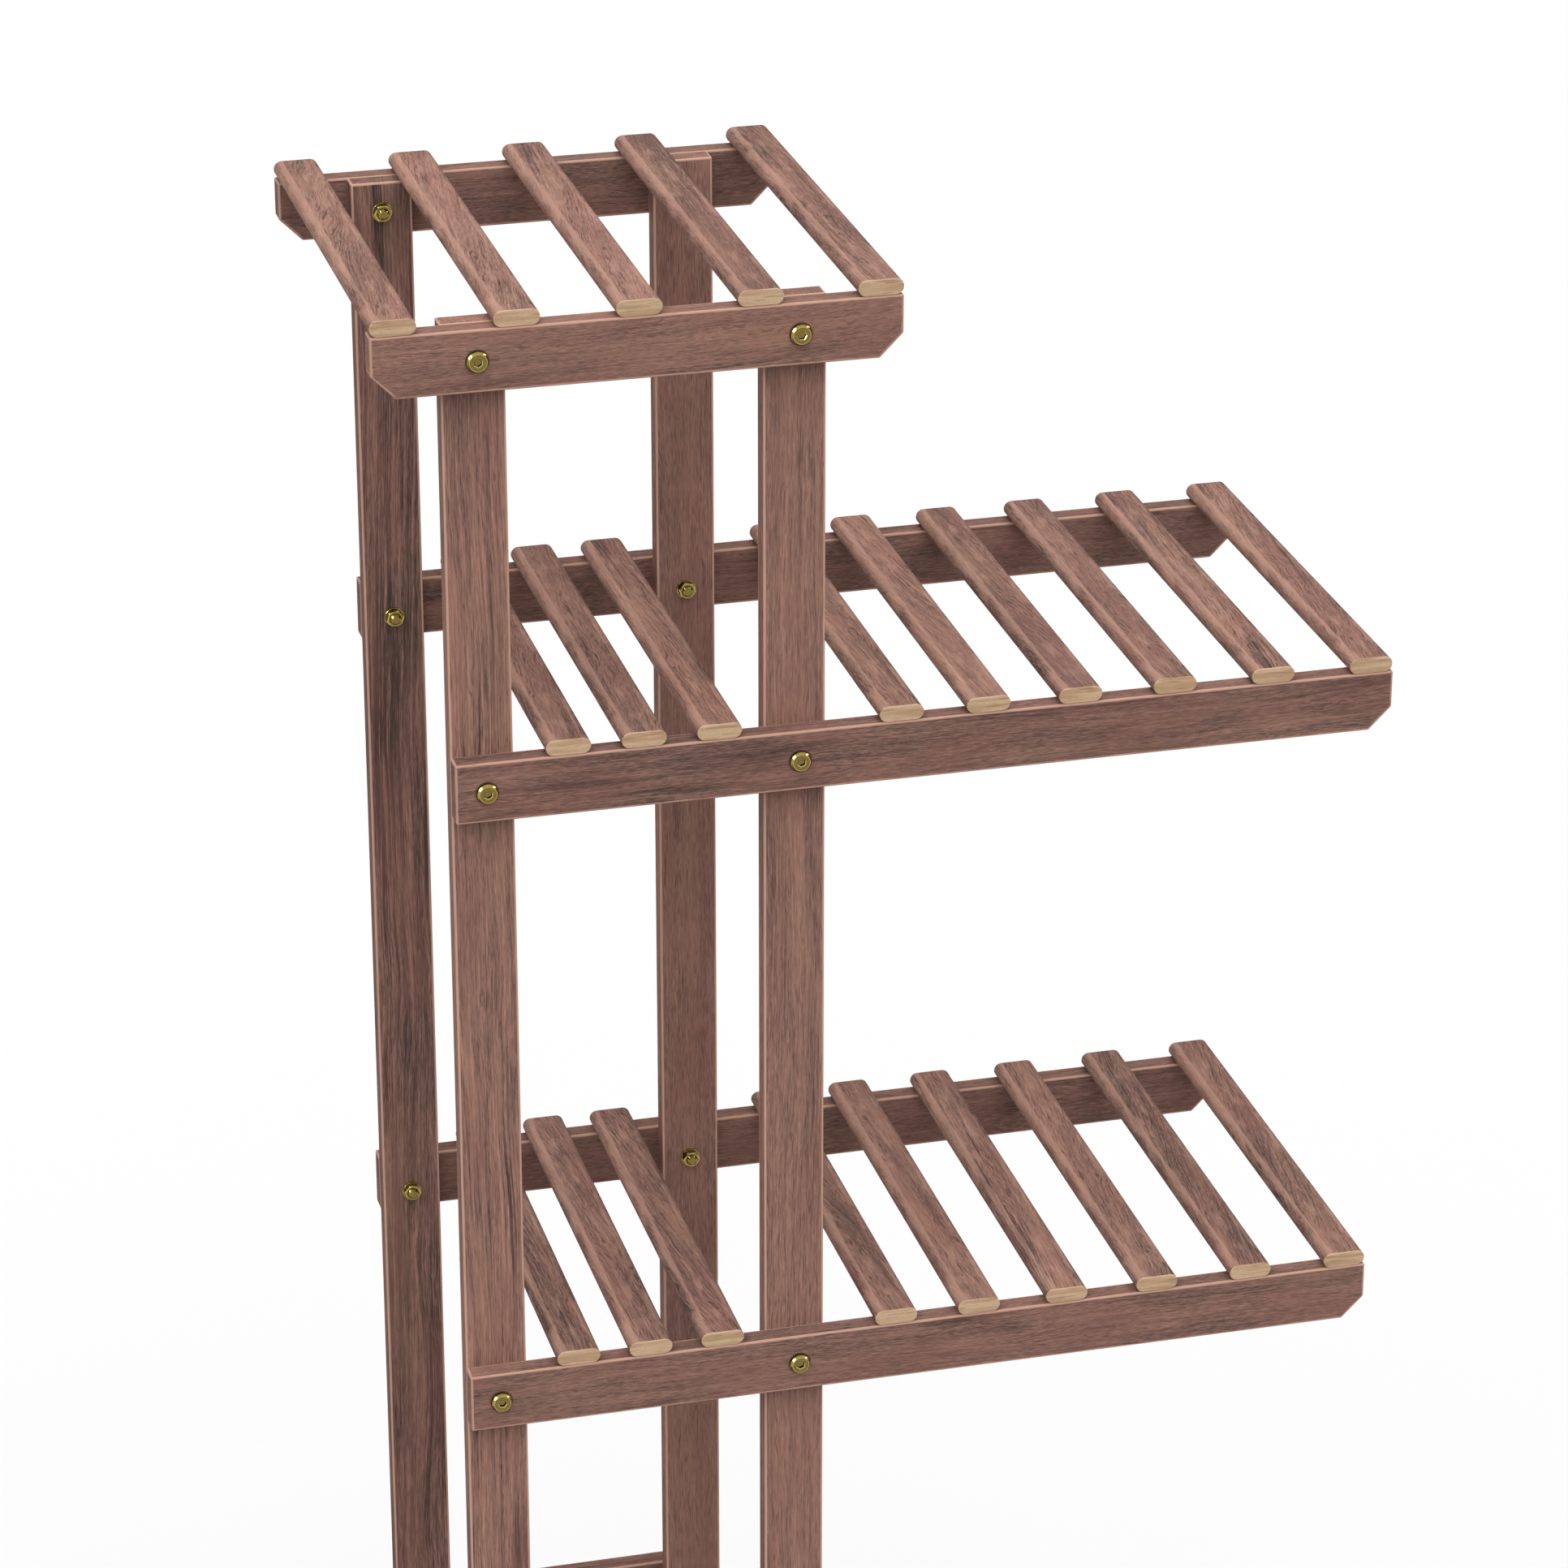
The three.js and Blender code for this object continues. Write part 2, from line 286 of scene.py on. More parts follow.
def stained_wood(name, grain_set, tan, pores, rubbed, ragged, painted_shade=None):
    """Stained wood that reads each board's own grain and edge. The grain's set is how much its
    lines wander, how short they are, how strong its knots, how far its lines slant and how open its
    pores. tan is how far thin stain shows, pores how dark they are, rubbed and ragged how bare and
    uneven the edges are, and the last, if given, adds painted shade of its own."""
    material, tree, shader = new_material(name)
    board_place = add(tree, "ShaderNodeAttribute", attribute_name="board").outputs["Vector"]
    lot, depth, figure, edge = (noted(tree, label) for label in ("lot", "tone", "figure", "edge"))
    grain = add(tree, "ShaderNodeGroup", {
        "Board": board_place, "Lot": lot, "Figure": figure, **grain_set,
    }, node_tree=STAINED_GRAIN).outputs
    worn = add(tree, "ShaderNodeGroup", {
        "Board": board_place, "Edge": edge, "Ragged": ragged,
    }, node_tree=WORN_EDGE).outputs[0]

    tone = maths(tree, "ADD", grain["Tone"], depth)
    base = colour_scale(tree, tone, STAIN)
    base = blend(tree, maths(tree, "MULTIPLY", grain["Redness"], REDNESS), base, STAIN_RED)
    base = blend(tree, maths(tree, "MULTIPLY", grain["Thin"], tan), base, STAIN_TAN)
    base = blend(tree, maths(tree, "MULTIPLY", worn, rubbed), base, STAIN_THIN)
    # where the edge is rubbed the pores close
    filled = maths(tree, "MULTIPLY_ADD", worn, -pores, pores)
    base = blend(tree, maths(tree, "MULTIPLY", grain["Pores"], filled), base, PORE_AND_PAINTED_SHADE)
    # painted shade, if given, such as the dark ring round a bolthead
    if painted_shade:
        base = blend(tree, painted_shade(tree, board_place), base, PORE_AND_PAINTED_SHADE)
    tree.links.new(base, shader.inputs["Base Color"])

    rough = ramp(tree, tone, 0.0, 1.0, ROUGH_DARK, ROUGH_PALE)
    tree.links.new(rough, shader.inputs["Roughness"])
    height = maths(tree, "MULTIPLY_ADD", grain["Pores"], -PORE_DEPTH, tone)
    relief(tree, shader, height, *WOOD_RELIEF)
    shader.inputs["Specular IOR Level"].default_value = WOOD_GLOSS
    return material


def note_board(mesh, low, high, axes, lot, tone, figure):
    """Gives a mesh its place along, across and through the grain, and the board's own look."""
    middle = (low + high) / 2
    places = mesh.attributes.new("board", "FLOAT_VECTOR", "POINT")
    for vertex in mesh.vertices:
        offset = vertex.co - middle
        places.data[vertex.index].vector = [offset[axis] for axis in axes]
    for label, value in (("lot", lot), ("tone", tone), ("figure", figure)):
        layer = mesh.attributes.new(label, "FLOAT", "POINT")
        for item in layer.data:
            item.value = value


def show(name, bm, materials, nodes):
    """Turns a bmesh into a piece of the stand, in place of the named solids."""
    mesh = bpy.data.meshes.new(name)
    bmesh.ops.recalc_face_normals(bm, faces=bm.faces)
    bm.to_mesh(mesh)
    bm.free()
    for material in materials:
        mesh.materials.append(material)
    piece = bpy.data.objects.new(name, mesh)
    bpy.context.scene.collection.objects.link(piece)
    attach(piece, "root")
    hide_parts(*nodes)
    return piece


def corners_of(node):
    return [Vector(corner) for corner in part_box(node)]


def block(low, high):
    """A box between two corners."""
    bm = bmesh.new()
    bmesh.ops.create_cube(bm, size=1.0)
    bmesh.ops.scale(bm, vec=high - low, verts=bm.verts)
    bmesh.ops.translate(bm, vec=(low + high) / 2, verts=bm.verts)
    return bm


def bevel(bm, edges, width, steps):
    bmesh.ops.bevel(
        bm, geom=edges, offset=width, offset_type="OFFSET", segments=steps,
        profile=0.5, affect="EDGES", material=-1,
    )


def ease_edges(bm):
    """Rounds every edge of a board, and marks the eased edges and a narrow strip beside them."""
    flats = [face.calc_center_median() for face in bm.faces]
    bevel(bm, bm.edges[:], EASE, EASE_STEPS)
    widest = [
        min(bm.faces, key=lambda face, at=at: (face.calc_center_median() - at).length)
        for at in flats
    ]
    bmesh.ops.inset_individual(bm, faces=widest, thickness=WORN_WIDTH, depth=0.0)
    edge = bm.verts.layers.float.new("edge")
    for vertex in bm.verts:
        vertex[edge] = 1.0
    for face in widest:
        for vertex in face.verts:
            vertex[edge] = 0.0


POST_GRAIN = {"Sway": 0.3, "Run": 1.0, "Knots": 0.3, "Slant": 0.015, "Open": 0.0}
POST_WOOD = stained_wood(
    "post_wood", POST_GRAIN, tan=0.2, pores=0.45, rubbed=0.85, ragged=0.9,
)
POST_LOOKS = {  # lot of timber, how light the stain came out, and how strong the figure is
    "front_left_post": (3.1, 0.03, 1.0),
    "front_right_post": (5.6, 0.04, 0.6),
    "rear_left_post": (8.2, -0.19, 1.2),
    "rear_right_post": (11.4, -0.01, 0.35),
}

for node, (lot, tone, figure) in POST_LOOKS.items():
    low, high = corners_of(node)
    bm = block(low, high)
    ease_edges(bm)
    post = show(node + "_board", bm, [POST_WOOD], [node])
    note_board(post.data, low, high, GRAIN_UP, lot, tone, figure)


# ---------------------------------------------------------------------------------------------------
# Rails. The same stock as the posts, laid along the outside of them and bolted through. The lower
# corner of each free end is cut at 45 degrees, and painted shade lays a dark ring round each bolthead.
TIERS = range(1, 6)  # from the top
ROWS = ("front", "rear")
RAIL_THICKNESS = 0.011
CORNER_CUT = 0.0113
# a ring of painted shade round each bolthead, where it meets the rail
SHADE_RING_RADIUS = 0.0053
SHADE_RING_WIDTH = 0.0006
SHADE_RING_DARKNESS = 0.9
GRAIN_SIDEWAYS = (0, 2, 1)
END_TOLERANCE = 0.001


def middle_of(node):
    low, high = corners_of(node)
    return (low + high) / 2


POST_X = abs(middle_of("front_right_post").x)
OUTER_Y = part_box("tier_1_slat_1")[1][1]  # the rails' outer faces are in line with the slats' ends


def painted_shade_ring(tree, board_place):
    """A ring of painted shade round each bolthead: the bolts lie at the posts, half way up the rail."""
    here = add(tree, "ShaderNodeTexCoord").outputs["Object"]
    aside = maths(tree, "SUBTRACT", maths(tree, "ABSOLUTE", part_of(tree, here, "X")), POST_X)
    upward = part_of(tree, board_place, "Y")
    squares = maths(tree, "MULTIPLY_ADD", aside, aside, maths(tree, "MULTIPLY", upward, upward))
    off_ring = maths(tree, "SUBTRACT", maths(tree, "SQRT", squares), SHADE_RING_RADIUS)
    return ramp(tree, maths(tree, "ABSOLUTE", off_ring), 0.0, SHADE_RING_WIDTH, SHADE_RING_DARKNESS, 0.0)


RAIL_GRAIN = {"Sway": 0.2, "Run": 1.7, "Knots": 0.5, "Slant": 0.012, "Open": -0.01}
RAIL_WOOD = stained_wood(
    "rail_wood", RAIL_GRAIN, tan=0.12, pores=0.42, rubbed=0.72, ragged=1.7, painted_shade=painted_shade_ring,
)
# The rear rails' tone is set darker all over. This is painted shade for their inner faces, which lie
# under the slats, on top of the shade that the lamps cast.
RAIL_LOOKS = {  # lot, tone and figure of the front and the rear rail of each tier
    1: ((21.3, -0.01, 0.5), (23.9, -0.15, 0.4)),
    2: ((26.2, -0.15, 0.65), (28.8, -0.14, 0.45)),
    3: ((31.7, -0.08, 0.6), (34.1, -0.14, 0.45)),
    4: ((37.4, -0.1, 0.6), (39.6, -0.14, 0.4)),
    5: ((42.8, -0.1, 0.55), (45.3, -0.14, 0.45)),
}

post_ends = (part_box("front_left_post")[0][0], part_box("front_right_post")[1][0])
for tier in TIERS:
    for row, (lot, tone, figure) in zip(ROWS, RAIL_LOOKS[tier]):
        node = f"tier_{tier}_{row}_rail"
        low, high = corners_of(node)
        if row == "front":
            low.y, high.y = -OUTER_Y, RAIL_THICKNESS - OUTER_Y
        else:
            low.y, high.y = OUTER_Y - RAIL_THICKNESS, OUTER_Y
        bm = block(low, high)
        free_ends = [
            end for end, post_end in ((low.x, post_ends[0]), (high.x, post_ends[1]))
            if abs(end - post_end) > END_TOLERANCE
        ]
        corners = [
            edge for edge in bm.edges
            if all(abs(v.co.z - low.z) < END_TOLERANCE for v in edge.verts)
            and any(all(abs(v.co.x - end) < END_TOLERANCE for v in edge.verts) for end in free_ends)
        ]
        bevel(bm, corners, CORNER_CUT, 1)
        ease_edges(bm)
        rail = show(node + "_board", bm, [RAIL_WOOD], [node])
        note_board(rail.data, low, high, GRAIN_SIDEWAYS, lot, tone, figure)


# ---------------------------------------------------------------------------------------------------
# Slats. Thin strips laid from the front rail to the rear one, with full-round edges. They were
# stained before they were cut to length, so their sawn ends are bare pale wood.
ROUND_STEPS = 12  # in each quarter round
ROUNDING = 0.997  # share of half the thickness, so that the two quarter rounds don't quite meet
SLAT_WORN_WIDTH = 0.0012  # how far the rubbed band reaches onto the flat
SLAT_WORN_ROUND = 0.006  # and round the edge, which is rubbed more on the left
LEAST_WORN = 0.5
WORN_ON_RIGHT = 0.5
FLAT = 0.999  # how squarely a face looks up or down on the flats
SIDEWAYS = 0.3  # how squarely a face may look to the front or rear before it counts as sawn
END_EASE = 0.0004
END_EASE_STEPS = 2
GRAIN_BACK = (1, 0, 2)
SLAT_COUNTS = {1: 5, 2: 9, 3: 9, 4: 6, 5: 9}
SLAT_TONES = (0.01, -0.09, 0.03, -0.05, -0.15, 0.0, -0.07)
SLAT_FIGURES = (0.7, 0.55, 0.95, 0.65, 0.85)
FIRST_LOT, LOT_PER_TIER, LOT_PER_SLAT = 50.7, 4.3, 1.9
SAWN_PALE = colour(197, 167, 137)
SAWN_RING = colour(174, 142, 110)
SAWN_STREAK = colour(138, 106, 76)
SAWN_FLECK = colour(158, 126, 96)
STREAK_SHARE, FLECK_SHARE = 0.55, 0.25
SAWN_RELIEF = (0.3, 0.0001)
SAWN_GLOSS = 0.25


def sawn_end():
    """Bare end grain: pale, with faint bands from the growth rings and a few darker stains."""
    material, tree, shader = new_material("sawn_end")
    place = add(tree, "ShaderNodeAttribute", attribute_name="board").outputs["Vector"]
    lot = noted(tree, "lot")
    shift = add(tree, "ShaderNodeCombineXYZ", {"X": lot, "Y": lot, "Z": lot}).outputs[0]
    place = vector_maths(tree, "ADD", place, shift)
    rings = ramp(tree, noise(tree, place, (20, 40, 560)), 0.34, 0.7)
    streaks = ramp(tree, noise(tree, place, (20, 70, 900), 1.0), 0.56, 0.7)
    flecks = ramp(tree, noise(tree, place, (20, 900, 2200), 1.0), 0.35, 0.75)
    base = blend(tree, rings, SAWN_PALE, SAWN_RING)
    base = blend(tree, maths(tree, "MULTIPLY", streaks, STREAK_SHARE), base, SAWN_STREAK)
    base = blend(tree, maths(tree, "MULTIPLY", flecks, FLECK_SHARE), base, SAWN_FLECK)
    tree.links.new(base, shader.inputs["Base Color"])
    tree.links.new(ramp(tree, flecks, 0.0, 1.0, 0.7, 0.85), shader.inputs["Roughness"])
    relief(tree, shader, flecks, *SAWN_RELIEF)
    shader.inputs["Specular IOR Level"].default_value = SAWN_GLOSS
    return material


SLAT_GRAIN = {"Sway": 0.3, "Run": 1.2, "Knots": 1.0, "Slant": 0.12, "Open": 0.05}
SLAT_WOOD = stained_wood(
    "slat_wood", SLAT_GRAIN, tan=0.25, pores=0.7, rubbed=0.36, ragged=2.4,
)
SAWN_END = sawn_end()


def length_along(edge):
    return abs(edge.verts[0].co.y - edge.verts[1].co.y)


for tier, count in SLAT_COUNTS.items():
    for number in range(1, count + 1):
        node = f"tier_{tier}_slat_{number}"
        low, high = corners_of(node)
        bm = block(low, high)
        middle = (low.x + high.x) / 2
        long_edges = [edge for edge in bm.edges if length_along(edge) > END_TOLERANCE]
        bevel(bm, long_edges, ROUNDING * (high.z - low.z) / 2, ROUND_STEPS)
        outlines = [edge for edge in bm.edges if length_along(edge) < END_TOLERANCE]
        bevel(bm, outlines, END_EASE, END_EASE_STEPS)
        bm.normal_update()
        flats = [face for face in bm.faces if abs(face.normal.z) > FLAT]
        rounded_at = max(abs(v.co.x - middle) for face in flats for v in face.verts)
        bmesh.ops.inset_individual(bm, faces=flats, thickness=SLAT_WORN_WIDTH, depth=0.0)
        edge_mark = bm.verts.layers.float.new("edge")
        for vertex in bm.verts:
            aside = vertex.co.x - middle
            past_line = abs(aside) - rounded_at
            if past_line > 0:
                bare = max(LEAST_WORN, 1 - past_line / SLAT_WORN_ROUND)
            else:
                bare = max(0.0, 1 + past_line / SLAT_WORN_WIDTH)
            vertex[edge_mark] = bare * (1.0 if aside < 0 else WORN_ON_RIGHT)
        for face in bm.faces:
            face.smooth = abs(face.normal.y) < SIDEWAYS
            face.material_index = 0 if face.smooth else 1
        for edge in bm.edges:
            edge.smooth = len({face.smooth for face in edge.link_faces}) == 1
        slat = show(node + "_strip", bm, [SLAT_WOOD, SAWN_END], [node])
        lot = FIRST_LOT + LOT_PER_TIER * tier + LOT_PER_SLAT * number
        tone = SLAT_TONES[(3 * tier + 2 * number) % len(SLAT_TONES)]
        figure = SLAT_FIGURES[(2 * tier + number) % len(SLAT_FIGURES)]
        note_board(slat.data, low, high, GRAIN_BACK, lot, tone, figure)


# ---------------------------------------------------------------------------------------------------
# Bolts. Brass-plated furniture bolts, one where each rail crosses a post. A flat head with a
# bevelled rim and a hexagon socket sits on the rail, and the threaded end comes out of the nut.
HANDS = ("left", "right")
SIDES = 48
BOLT_RADIUS = 0.0025
HEAD_RADIUS = 0.005
HEAD_FACE_RADIUS = 0.0043
HEAD_HEIGHT = 0.0028
HEAD_SOFTNESS = 0.00025
HEAD_BEVEL = 0.0008
SOCKET_FLATS = 0.0035
SOCKET_DEPTH = 0.0013
SOCKET_MOUTH = 0.0003
THREAD_PITCH = 0.0008
THREAD_DEPTH = 0.0003
WASHER_THICKNESS = 0.0009
NUT_THICKNESS = 0.0027
TIP_OUT = 0.0017
TIP_CHAMFER = 0.0006
CLAMPED = 2 * RAIL_THICKNESS  # rail and post
SHARP = math.radians(25)
LINE = 0.00012  # the width of a fine line between two levels of painted light
# How light each band of brass is painted: painted shade in corners, sockets and thread roots, the plain
# face, a brighter painted reflection on rims, and painted highlights on edges.
CORNER_PAINTED_SHADE = 0.08
FACE_PAINTED_LIGHT = 0.44
RIM_PAINTED_LIGHT = 0.68
EDGE_PAINTED_HIGHLIGHT = 0.9
PLATING_AND_PAINTED_LIGHT = (  # from painted shade in a corner to a painted highlight on an edge
    (0.0, colour(48, 38, 20)), (0.36, colour(104, 87, 46)), (0.5, colour(124, 106, 59)),
    (0.75, colour(160, 141, 75)), (1.0, colour(196, 178, 112)),
)
FILM_GRAIN = (420, 420, 420)
FILM_SHARE = 0.12
BRASS_RELIEF = (0.1, 0.0001)


def brass():
    """Brass plating, a little uneven, with painted light: plainest on flat faces, painted highlights on
    edges and rims, and painted shade in corners.
    """
    material, tree, shader = new_material("brass_with_painted_light")
    here = add(tree, "ShaderNodeTexCoord").outputs["Object"]
    film = noise(tree, here, FILM_GRAIN, 3.0)
    # each ring's painted light and shade, made a little uneven by the film
    painted_light = maths(tree, "MULTIPLY_ADD", film, FILM_SHARE, noted(tree, "painted_light"))
    tree.links.new(colour_scale(tree, painted_light, PLATING_AND_PAINTED_LIGHT), shader.inputs["Base Color"])
    tree.links.new(ramp(tree, film, 0.2, 0.8, 0.1, 0.2), shader.inputs["Roughness"])
    relief(tree, shader, film, *BRASS_RELIEF)
    shader.inputs["Metallic"].default_value = 1.0
    return material


def hexagon(flats, outset=0.0):
    """The rule for the radius of a hexagon, given the size across its flats."""
    sixth = math.pi / 3
    return lambda angle: (flats / 2 + outset) / math.cos(angle % sixth - sixth / 2)


def rings_about_y(rings, close_start=False, close_end=False):
    """A form about the Y axis. Each ring has its place along Y, its radius and its level of painted
    light, from painted shade to painted highlight, and the first two may be a rule by angle."""
    bm = bmesh.new()
    painted_light = bm.verts.layers.float.new("painted_light")
    loop = bmesh.ops.create_circle(bm, cap_ends=False, radius=1.0, segments=SIDES)["verts"]
    bmesh.ops.rotate(bm, verts=loop, matrix=Matrix.Rotation(math.pi / 2, 3, "X"))
    edges = bm.edges[:]
    for i, (along, radius, shine) in enumerate(rings):
        if i:
            made = bmesh.ops.extrude_edge_only(bm, edges=edges)["geom"]
            loop = [item for item in made if isinstance(item, bmesh.types.BMVert)]
            edges = [
                item for item in made
                if isinstance(item, bmesh.types.BMEdge) and all(v in loop for v in item.verts)
            ]
        for v in loop:
            angle = math.atan2(v.co.z, v.co.x)
            r = radius(angle) if callable(radius) else radius
            y = along(angle) if callable(along) else along
            v.co = (r * math.cos(angle), y, r * math.sin(angle))
            v[painted_light] = shine
        if (i == 0 and close_start) or (i == len(rings) - 1 and close_end):
            bmesh.ops.contextual_create(bm, geom=edges)
    bmesh.ops.remove_doubles(bm, verts=bm.verts, dist=1e-6)
    for edge in bm.edges:
        edge.smooth = len(edge.link_faces) == 2 and edge.calc_face_angle(0.0) < SHARP
    for face in bm.faces:
        face.smooth = True
    return bm


def bolt_form():
    """The bolt along +Y from the foot of its socket to its tip. The rail's face is at y = 0."""
    # each ring's third number is its painted light: painted shade in the socket, at the foot of the
    # head and in the thread's roots, painted highlights on edges and rim
    rings = [
        (SOCKET_DEPTH - HEAD_HEIGHT, hexagon(SOCKET_FLATS, -LINE), FACE_PAINTED_LIGHT),
        (SOCKET_DEPTH - HEAD_HEIGHT, hexagon(SOCKET_FLATS), CORNER_PAINTED_SHADE),
        (SOCKET_MOUTH + LINE - HEAD_HEIGHT, hexagon(SOCKET_FLATS), CORNER_PAINTED_SHADE),
        (SOCKET_MOUTH - HEAD_HEIGHT, hexagon(SOCKET_FLATS), EDGE_PAINTED_HIGHLIGHT),
        (-HEAD_HEIGHT, hexagon(SOCKET_FLATS, SOCKET_MOUTH), EDGE_PAINTED_HIGHLIGHT),
        (-HEAD_HEIGHT, hexagon(SOCKET_FLATS, SOCKET_MOUTH + LINE), FACE_PAINTED_LIGHT),
        (-HEAD_HEIGHT, HEAD_FACE_RADIUS - HEAD_SOFTNESS - LINE, FACE_PAINTED_LIGHT),
        (-HEAD_HEIGHT, HEAD_FACE_RADIUS - HEAD_SOFTNESS, EDGE_PAINTED_HIGHLIGHT),
        (-HEAD_HEIGHT + HEAD_SOFTNESS / 4, HEAD_FACE_RADIUS - HEAD_SOFTNESS / 2, EDGE_PAINTED_HIGHLIGHT),
        (-HEAD_HEIGHT + HEAD_SOFTNESS / 2, HEAD_FACE_RADIUS, RIM_PAINTED_LIGHT),
        (-HEAD_HEIGHT + HEAD_SOFTNESS / 2 + HEAD_BEVEL, HEAD_RADIUS - LINE, RIM_PAINTED_LIGHT),
        (-HEAD_HEIGHT + HEAD_SOFTNESS + HEAD_BEVEL, HEAD_RADIUS, RIM_PAINTED_LIGHT),
        (-4 * LINE, HEAD_RADIUS, RIM_PAINTED_LIGHT),
        (-2 * LINE, HEAD_RADIUS, CORNER_PAINTED_SHADE),
        (0.0, HEAD_RADIUS, CORNER_PAINTED_SHADE),
        (0.0, BOLT_RADIUS, CORNER_PAINTED_SHADE),
    ]
    nut_top = CLAMPED + WASHER_THICKNESS + NUT_THICKNESS
    along = nut_top - THREAD_PITCH
    tip = nut_top + TIP_OUT
    while along < tip - TIP_CHAMFER - THREAD_PITCH / 2:
        rings.append((along, BOLT_RADIUS, RIM_PAINTED_LIGHT))
        rings.append((along + THREAD_PITCH / 2, BOLT_RADIUS - THREAD_DEPTH, CORNER_PAINTED_SHADE))
        along += THREAD_PITCH
    rings.append((tip - TIP_CHAMFER, BOLT_RADIUS, RIM_PAINTED_LIGHT))
    rings.append((tip - LINE, BOLT_RADIUS - TIP_CHAMFER + LINE, FACE_PAINTED_LIGHT))
    rings.append((tip, BOLT_RADIUS - TIP_CHAMFER, FACE_PAINTED_LIGHT))
    return rings_about_y(rings, close_start=True, close_end=True)


def bolted_places():
    """Each bolted crossing: its name, the rail's node, its number, and how a form made at the
    origin gets there."""
    number = 0
    for tier in TIERS:
        for row in ROWS:
            rail = f"tier_{tier}_{row}_rail"
            height = middle_of(rail).z
            y = -OUTER_Y if row == "front" else OUTER_Y
            facing = Matrix.Identity(4) if row == "front" else Matrix.Rotation(math.pi, 4, "Z")
            for hand in HANDS:
                x = POST_X if hand == "right" else -POST_X
                there = Matrix.Translation((x, y, height)) @ facing
                yield f"tier_{tier}_{row}_{hand}", rail, number, there
                number += 1


def fasten(name, bm, rail, there, turns, number):
    """Turns a form about its own axis and sets it in its crossing, as a piece of brass."""
    turned = Matrix.Rotation(math.radians(turns[number % len(turns)]), 4, "Y")
    bmesh.ops.transform(bm, matrix=there @ turned, verts=bm.verts)
    show(name, bm, [BRASS], [rail])


BRASS = brass()
SOCKET_TURNS = (30, 2, 25, 48, 34, 37, 55, 20, 6, 41)  # degrees

for place, rail, number, there in bolted_places():
    fasten(place + "_bolt", bolt_form(), rail, there, SOCKET_TURNS, number)


# ---------------------------------------------------------------------------------------------------
# Washers and nuts, on the inside of the posts. A thin round washer spreads the load on the wood, and
# a hexagon nut with rounded-off corners and a countersunk thread holds the bolt.
WASHER_RADIUS = 0.005
WASHER_HOLE = 0.00265
WASHER_SOFTNESS = 0.00015
NUT_FLATS = 0.008
NUT_HOLE = 0.00252
NUT_COUNTERSINK = 0.0004
NUT_BEVEL = 0.00045
CORNER_SLOPE = math.tan(math.radians(30))
NUT_TURNS = (50, 0, 3, 33, 51, 12, 15, 47, 28, 41)  # degrees


def washer_form():
    top = CLAMPED + WASHER_THICKNESS
    # each ring's third number is its painted light: painted shade at the seat and hole, a painted
    # highlight on the rim
    return rings_about_y([
        (CLAMPED, WASHER_HOLE, CORNER_PAINTED_SHADE),
        (CLAMPED, WASHER_RADIUS, CORNER_PAINTED_SHADE),
        (top - WASHER_SOFTNESS, WASHER_RADIUS, RIM_PAINTED_LIGHT),
        (top, WASHER_RADIUS - WASHER_SOFTNESS, RIM_PAINTED_LIGHT),
        (top, WASHER_RADIUS - 3 * WASHER_SOFTNESS, FACE_PAINTED_LIGHT),
        (top, WASHER_HOLE, CORNER_PAINTED_SHADE),
        (CLAMPED, WASHER_HOLE, CORNER_PAINTED_SHADE),
    ])


def nut_form():
    seat = CLAMPED + WASHER_THICKNESS
    top = seat + NUT_THICKNESS
    outline = hexagon(NUT_FLATS)

    def shoulder(angle):
        return top - NUT_BEVEL / 2 - CORNER_SLOPE * (outline(angle) - NUT_FLATS / 2)

    # each ring's third number is its painted light: painted shade at the seat and in the hole, painted
    # highlights on the sides and bevels
    return rings_about_y([
        (seat, NUT_HOLE, CORNER_PAINTED_SHADE),
        (seat, outline, CORNER_PAINTED_SHADE),
        (seat + LINE, outline, RIM_PAINTED_LIGHT),
        (shoulder, outline, FACE_PAINTED_LIGHT),
        (lambda angle: shoulder(angle) + LINE, hexagon(NUT_FLATS, -LINE), EDGE_PAINTED_HIGHLIGHT),
        (top, hexagon(NUT_FLATS, -NUT_BEVEL), EDGE_PAINTED_HIGHLIGHT),
        (top, hexagon(NUT_FLATS, -NUT_BEVEL - LINE), FACE_PAINTED_LIGHT),
        (top, NUT_HOLE + NUT_COUNTERSINK, FACE_PAINTED_LIGHT),
        (top - NUT_COUNTERSINK, NUT_HOLE, CORNER_PAINTED_SHADE),
        (seat, NUT_HOLE, CORNER_PAINTED_SHADE),
    ])


for place, rail, number, there in bolted_places():
    for label, form in (("_washer", washer_form), ("_nut", nut_form)):
        fasten(place + label, form(), rail, there, NUT_TURNS, number)


# ---------------------------------------------------------------------------------------------------
# Studio. A wide pale floor, white all round, and soft light from above and in front. Two lights
# to the sides only draw highlights on the brass.
WHITE = (1.0, 1.0, 1.0, 1.0)
FLOOR_SIDE = 40.0
FLOOR_GREY = (0.35, 0.35, 0.35, 1.0)
FLOOR_GLOW = 0.5
SKY_LIGHT = 0.57  # the white all round, as it lights the stand
KEY_FROM = (-0.13, -0.45, 0.88)
KEY_SHARE = 0.98
KEY_SPREAD = 85  # degrees
SIDE_LIGHTS = (  # where each comes from, its share and its spread
    ((-0.85, -0.16, 0.5), 1.1, 32),
    ((0.89, 0.1, 0.44), 0.4, 20),
)


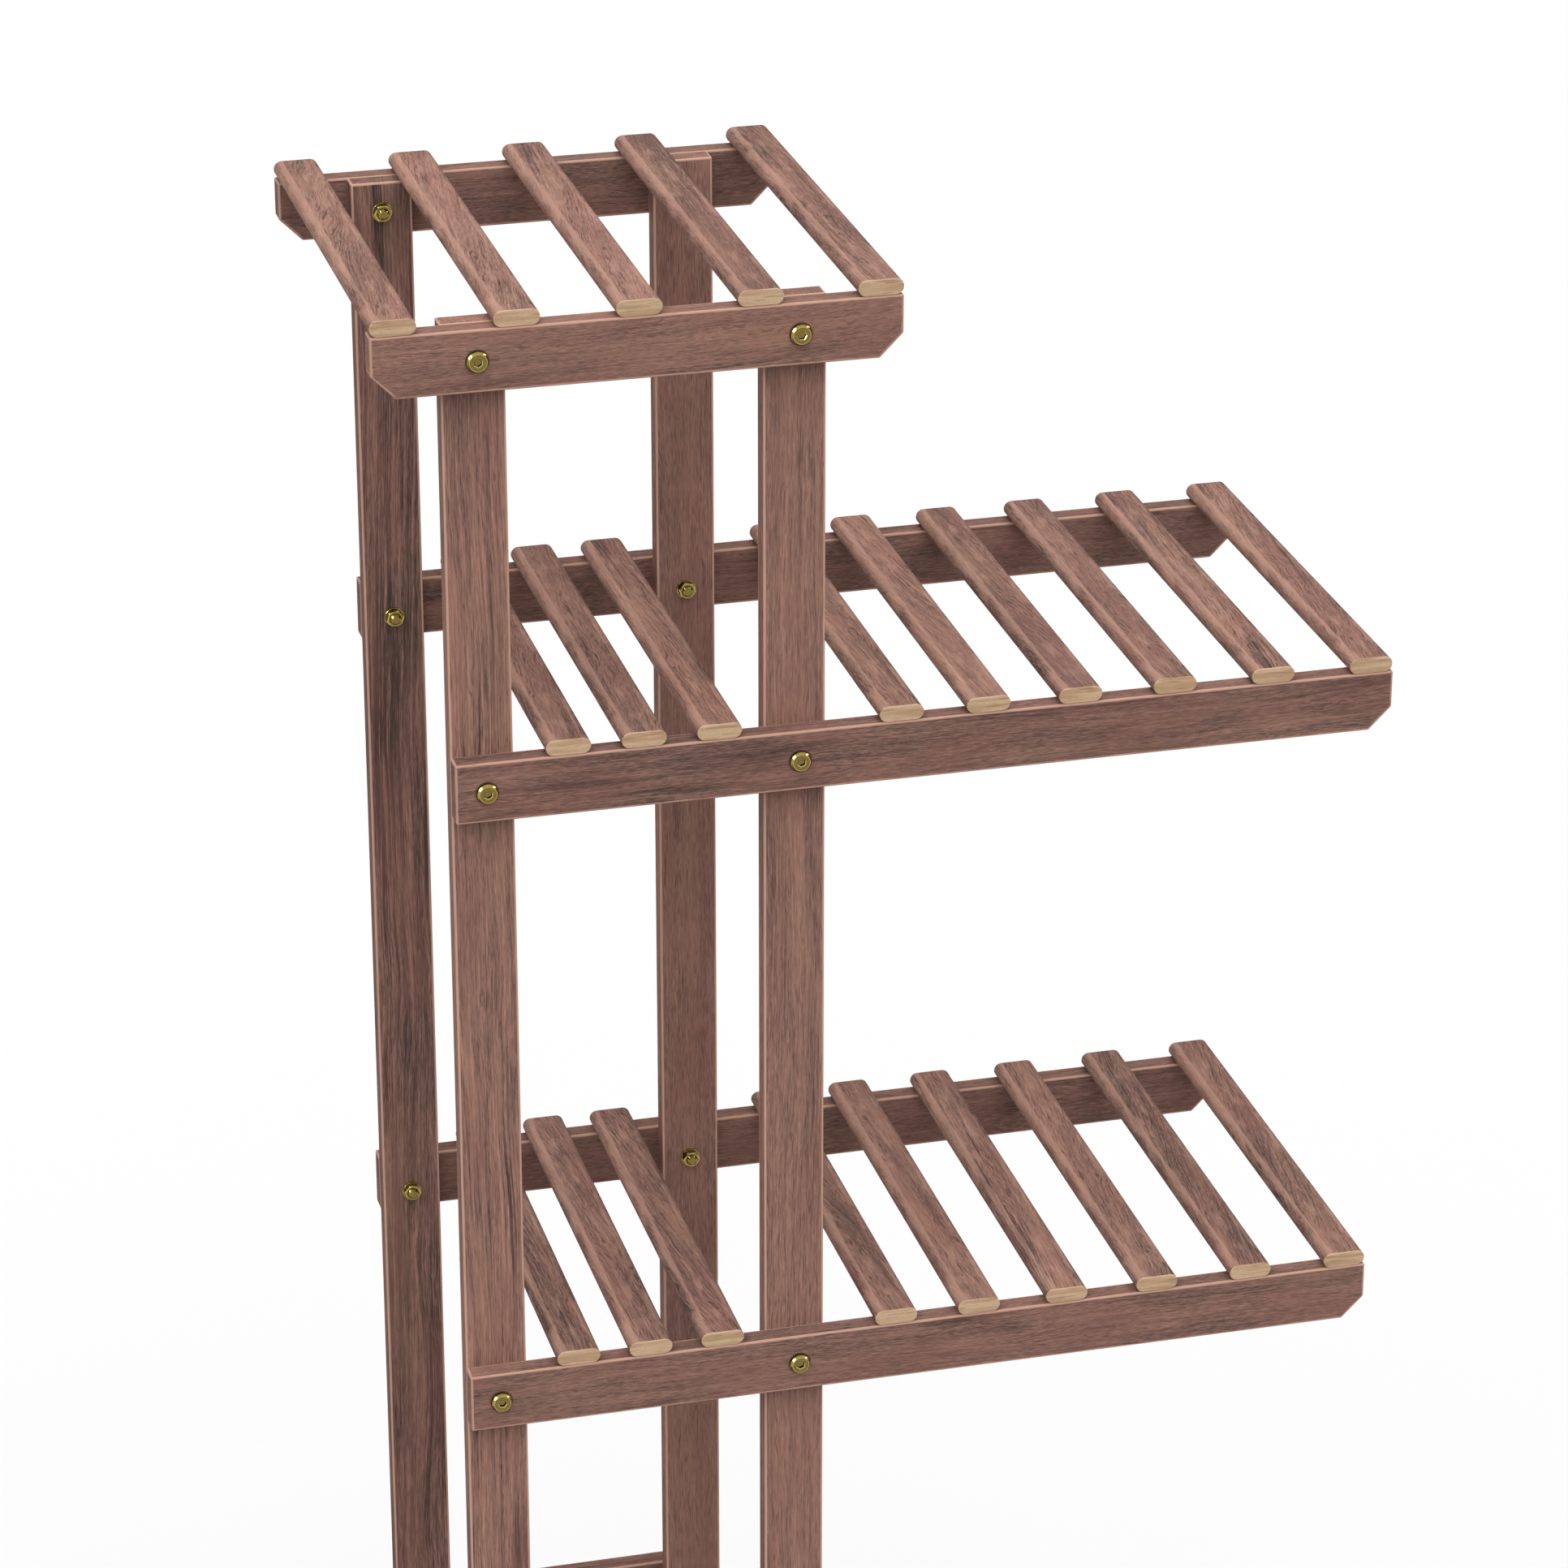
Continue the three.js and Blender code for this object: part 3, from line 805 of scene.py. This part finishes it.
def seen(tree):
    """1 for what the camera sees, straight or in metal and glass; 0 for the light on the object."""
    path = add(tree, "ShaderNodeLightPath").outputs
    straight = maths(tree, "MAXIMUM", path["Is Camera Ray"], path["Is Glossy Ray"])
    return maths(tree, "MAXIMUM", straight, path["Is Transmission Ray"])


floor_bm = bmesh.new()
bmesh.ops.create_grid(floor_bm, x_segments=1, y_segments=1, size=FLOOR_SIDE / 2)
floor_mesh = bpy.data.meshes.new("studio_floor")
floor_bm.to_mesh(floor_mesh)
floor_bm.free()
floor = bpy.data.objects.new("studio_floor", floor_mesh)
bpy.context.scene.collection.objects.link(floor)

floor_paint, floor_tree, floor_shader = new_material("studio_floor")
floor_shader.inputs["Base Color"].default_value = FLOOR_GREY
floor_shader.inputs["Roughness"].default_value = 1.0
floor_shader.inputs["Specular IOR Level"].default_value = 0.0
floor_shader.inputs["Emission Color"].default_value = WHITE
glow = maths(floor_tree, "MULTIPLY", seen(floor_tree), FLOOR_GLOW)
floor_tree.links.new(glow, floor_shader.inputs["Emission Strength"])
floor_mesh.materials.append(floor_paint)

world = bpy.data.worlds.new("studio")
world.use_nodes = True
bpy.context.scene.world = world
sky_tree = world.node_tree
sky = sky_tree.nodes["Background"]
sky.inputs["Color"].default_value = WHITE
brightness = ramp(sky_tree, seen(sky_tree), 0.0, 1.0, SKY_LIGHT, 1.0)
sky_tree.links.new(brightness, sky.inputs["Strength"])


def sun(name, towards, share, spread):
    """A distant soft light. share is how bright it makes a white surface that faces it."""
    lamp = bpy.data.lights.new(name, "SUN")
    lamp.energy = share * math.pi
    lamp.angle = math.radians(spread)
    holder = bpy.data.objects.new(name, lamp)
    holder.rotation_euler = Vector(towards).to_track_quat("Z", "Y").to_euler()
    bpy.context.scene.collection.objects.link(holder)
    return holder


sun("key_light", KEY_FROM, KEY_SHARE, KEY_SPREAD).visible_glossy = False
for i, (towards, share, spread) in enumerate(SIDE_LIGHTS):
    sun(f"side_light_{i + 1}", towards, share, spread).visible_diffuse = False

bpy.context.scene.view_settings.view_transform = "Standard"
